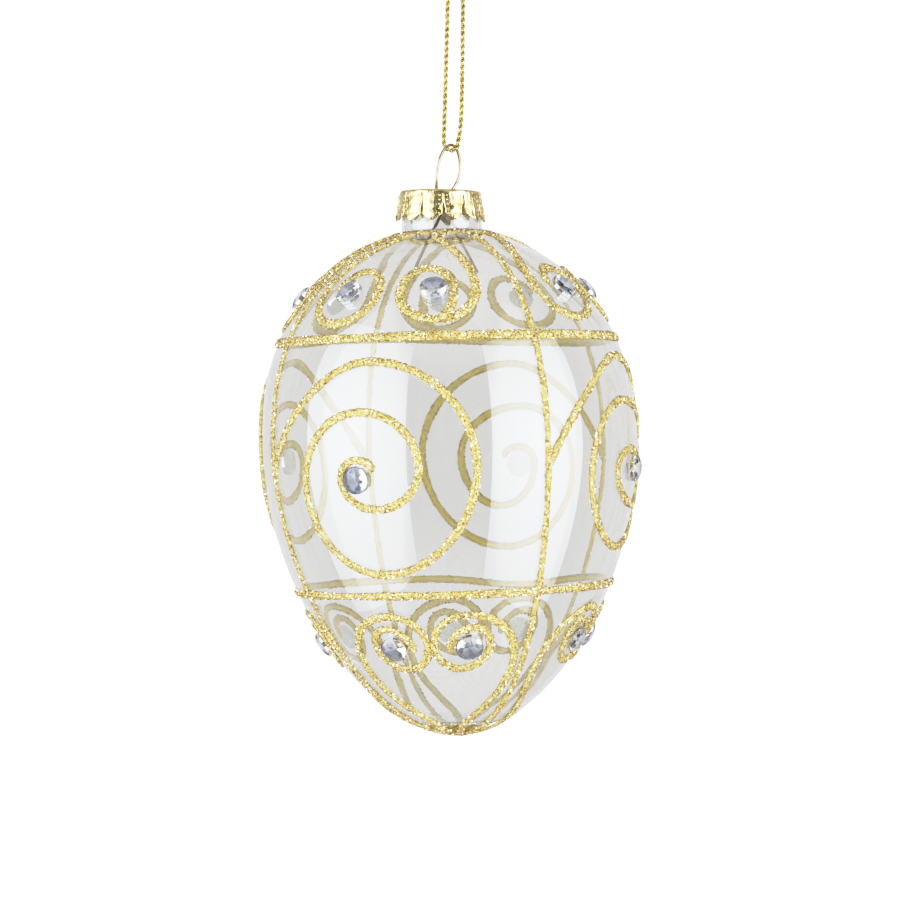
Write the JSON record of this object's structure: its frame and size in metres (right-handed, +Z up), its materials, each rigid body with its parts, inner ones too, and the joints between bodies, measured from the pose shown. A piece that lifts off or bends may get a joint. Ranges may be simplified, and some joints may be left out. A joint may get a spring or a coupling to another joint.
{
  "type": "glass egg ornament",
  "caption": "Hanging ornament: clear hollow glass egg with raised gold glitter scrolls, set stones, petalled gold cap, wire ring and twisted cord loop.",
  "frame": {"origin": "the hanging point: the inside top of the cord's loop, under its knot", "axes": "+Z up, along which the ornament hangs; -Y towards the viewer of the front; +X to the front's right"},
  "size_m": [0.0909, 0.0907, 0.1903],
  "materials": {
    "clear_glass": "clear blown glass, thin and bright",
    "gold_glitter": "gold glitter grains set in raised lines of glue",
    "crystal": "faceted clear stone with a silvered flat back",
    "polished_gold": "bright gold-plated sheet, embossed",
    "gold_wire": "bright pale gold-plated wire",
    "gold_thread": "twisted metallic thread"
  },
  "bodies": {
    "root": {"glass_egg": "clear_glass", "glitter_tracery": "gold_glitter", "coil_stone_1": "crystal", "coil_stone_2": "crystal", "coil_stone_3": "crystal", "coil_stone_4": "crystal", "upper_stone_1": "crystal", "upper_stone_2": "crystal", "upper_stone_3": "crystal", "upper_stone_4": "crystal", "upper_stone_5": "crystal", "upper_stone_6": "crystal", "upper_stone_7": "crystal", "upper_stone_8": "crystal", "lower_stone_1": "crystal", "lower_stone_2": "crystal", "lower_stone_3": "crystal", "lower_stone_4": "crystal", "lower_stone_5": "crystal", "lower_stone_6": "crystal", "lower_stone_7": "crystal", "lower_stone_8": "crystal", "gold_cap": "polished_gold", "wire_hanger": "gold_wire", "cord_loop": "gold_thread", "cord_knot": "gold_thread"}
  },
  "joints": []
}
